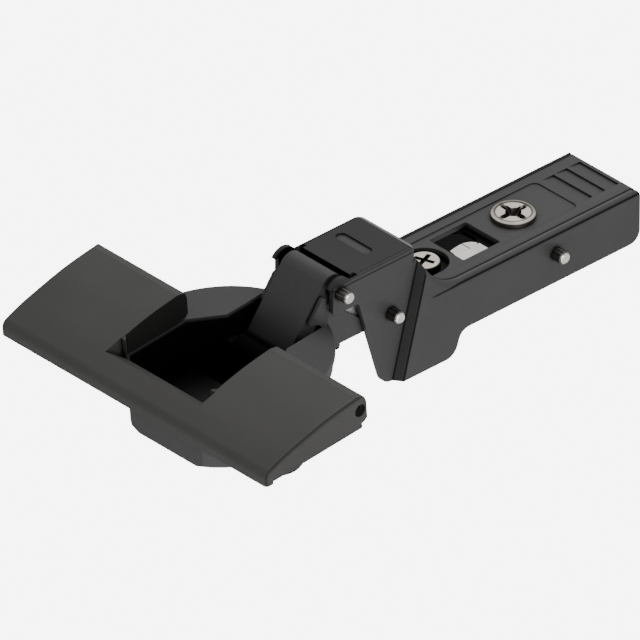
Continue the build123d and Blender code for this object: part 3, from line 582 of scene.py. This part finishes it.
# The camera stands far off, where the photograph was taken from. It was fitted in millimetres,
# and the hinge has since been moved by hinge_shift.
turn, tip, roll = math.radians(43.3170), math.radians(32.4786), math.radians(0.2038)
off_right, off_up, distance = -15.6607, -9.0397, 4800
hinge_shift = Vector((-16, 0, 2.1))
focal_px, picture_px, sensor_mm = 30240, 640, 36
right = Vector((math.cos(turn), -math.sin(turn), 0))
ahead = Vector(
    (math.sin(turn) * math.cos(tip), math.cos(turn) * math.cos(tip), -math.sin(tip))
)
up = Vector((math.sin(turn) * math.sin(tip), math.cos(turn) * math.sin(tip), math.cos(tip)))
right, up = (
    right * math.cos(roll) + up * math.sin(roll),
    up * math.cos(roll) - right * math.sin(roll),
)
place = (right * off_right + up * off_up + ahead * -distance + hinge_shift) / 1000
camera = bpy.data.objects.new("camera", bpy.data.cameras.new("camera"))
camera.data.sensor_width = sensor_mm
camera.data.lens = focal_px * sensor_mm / picture_px
camera.data.clip_start = 1
camera.data.clip_end = 50
camera.matrix_world = Matrix(
    (
        (right.x, up.x, -ahead.x, place.x),
        (right.y, up.y, -ahead.y, place.y),
        (right.z, up.z, -ahead.z, place.z),
        (0, 0, 0, 1),
    )
)
bpy.context.scene.collection.objects.link(camera)
bpy.context.scene.camera = camera

# White surroundings, which show whiter than the light that they give to the hinge
white = 7.0
soft = 0.72


def seen_or_lit(tree, lit):
    mix = tree.nodes.new("ShaderNodeMixShader")
    path = tree.nodes.new("ShaderNodeLightPath")
    seen = tree.nodes.new("ShaderNodeEmission")
    seen.inputs["Strength"].default_value = white
    tree.links.new(path.outputs["Is Camera Ray"], mix.inputs["Fac"])
    tree.links.new(lit, mix.inputs[1])
    tree.links.new(seen.outputs["Emission"], mix.inputs[2])
    return mix.outputs["Shader"]


world = bpy.data.worlds.new("white")
world.use_nodes = True
bpy.context.scene.world = world
tree = world.node_tree
tree.nodes.clear()
lit = tree.nodes.new("ShaderNodeBackground")
lit.inputs["Color"].default_value = (1, 1, 1, 1)
lit.inputs["Strength"].default_value = soft
out = tree.nodes.new("ShaderNodeOutputWorld")
tree.links.new(seen_or_lit(tree, lit.outputs["Background"]), out.inputs["Surface"])

# Plain white floor well below the hinge
floor_z = -0.12
floor_half = 1.5
floor_mesh = bpy.data.meshes.new("floor")
corners = [(-1, -1), (1, -1), (1, 1), (-1, 1)]
floor_points = [(x * floor_half, y * floor_half, floor_z) for x, y in corners]
floor_mesh.from_pydata(floor_points, [], [(0, 1, 2, 3)])
floor = bpy.data.objects.new("floor", floor_mesh)
bpy.context.scene.collection.objects.link(floor)
floor_material = bpy.data.materials.new("floor_white")
floor_material.use_nodes = True
tree = floor_material.node_tree
tree.nodes.clear()
dull = tree.nodes.new("ShaderNodeBsdfDiffuse")
dull.inputs["Color"].default_value = (*grey(0.75), 1)
# A look from below goes through the floor
side_seen = tree.nodes.new("ShaderNodeNewGeometry")
clear = tree.nodes.new("ShaderNodeBsdfTransparent")
one_sided = tree.nodes.new("ShaderNodeMixShader")
tree.links.new(side_seen.outputs["Backfacing"], one_sided.inputs["Fac"])
tree.links.new(seen_or_lit(tree, dull.outputs["BSDF"]), one_sided.inputs[1])
tree.links.new(clear.outputs["BSDF"], one_sided.inputs[2])
out = tree.nodes.new("ShaderNodeOutputMaterial")
tree.links.new(one_sided.outputs["Shader"], out.inputs["Surface"])
floor_mesh.materials.append(floor_material)


def panel(name, centre, aim, width, height, power):
    lamp = bpy.data.lights.new(name, "AREA")
    lamp.shape = "RECTANGLE"
    lamp.size = width
    lamp.size_y = height
    lamp.energy = power
    holder = bpy.data.objects.new(name, lamp)
    bpy.context.scene.collection.objects.link(holder)
    holder.location = centre
    holder.rotation_euler = (Vector(aim) - Vector(centre)).to_track_quat("-Z", "Y").to_euler()


hinge_middle = (-0.025, 0, 0)
cup_middle = (-0.06, 0, 0)
panel("key", (0.25, 0.1, 0.5), hinge_middle, width=0.3, height=0.3, power=1.5)
panel("fill", (-0.2, -0.6, 0.15), hinge_middle, width=0.5, height=0.4, power=2.7)
panel("low", (-0.17, -0.08, -0.11), cup_middle, width=0.1, height=0.05, power=0.08)
